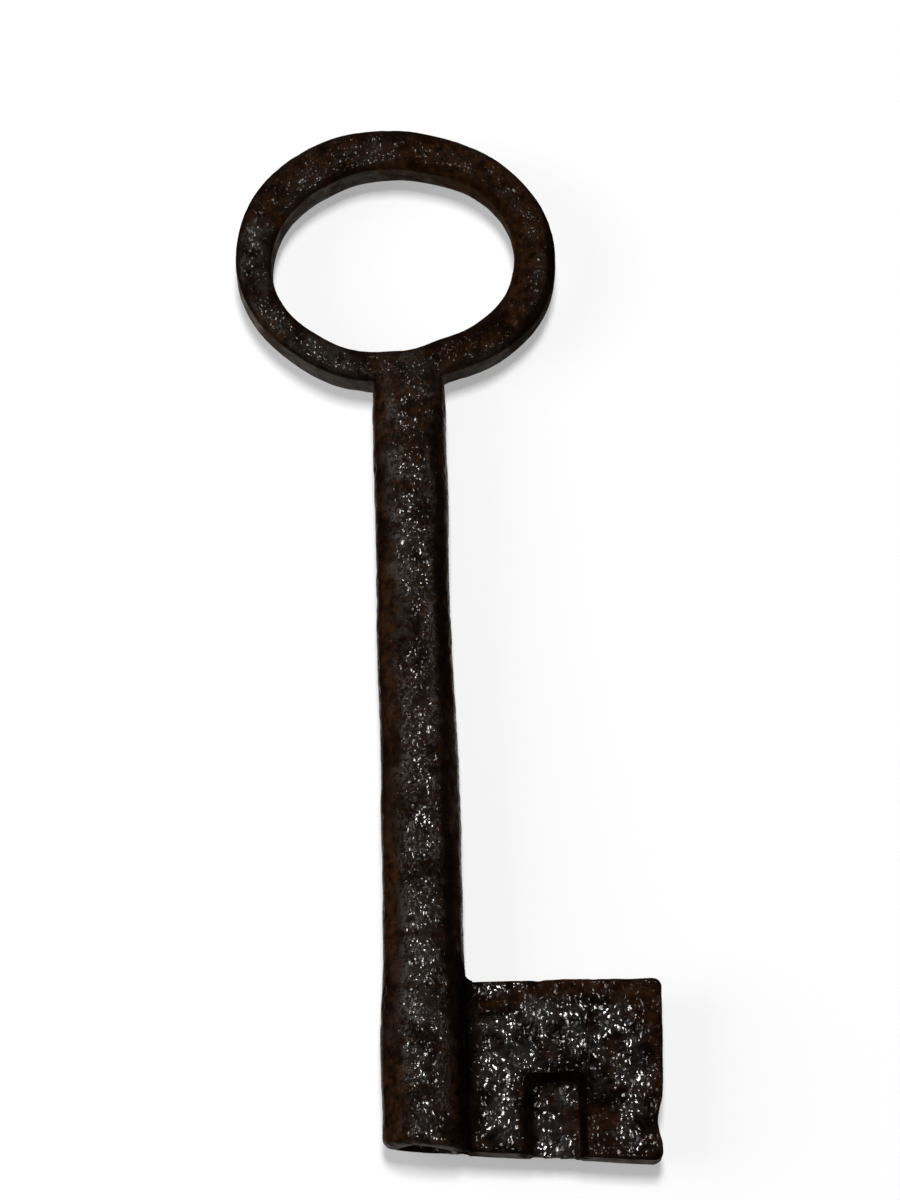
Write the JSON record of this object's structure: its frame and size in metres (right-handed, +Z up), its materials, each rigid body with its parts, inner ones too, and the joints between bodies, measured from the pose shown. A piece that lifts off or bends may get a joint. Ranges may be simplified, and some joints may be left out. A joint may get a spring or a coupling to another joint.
{
  "type": "pipe key",
  "caption": "Old iron pipe key with an oval bow, a round drilled stem that drops over a pin in the lock, and a flat bit with a ward pocket sunk into each face.",
  "frame": {"origin": "centre of the drilled bore's mouth, at the end of the stem that enters the lock", "axes": "+Y along the stem from its mouth to the bow, +X towards the bit, +Z up through the front face of a key that lies flat"},
  "size_m": [0.0595, 0.155, 0.012],
  "materials": {
    "forged_iron": "old forged iron, finely pitted, dark brown-black with rust-brown patches under a thin oily sheen",
    "bit_iron": "pitted forged iron, grey-black worn high spots with rust-brown edges, oily sheen",
    "old_brazing": "old brazing gone dark brown under rust, satin"
  },
  "bodies": {
    "root": {"bow": "forged_iron", "stem": "forged_iron", "bit": "bit_iron", "neck_braze": "old_brazing", "bit_braze": "old_brazing"}
  },
  "joints": []
}
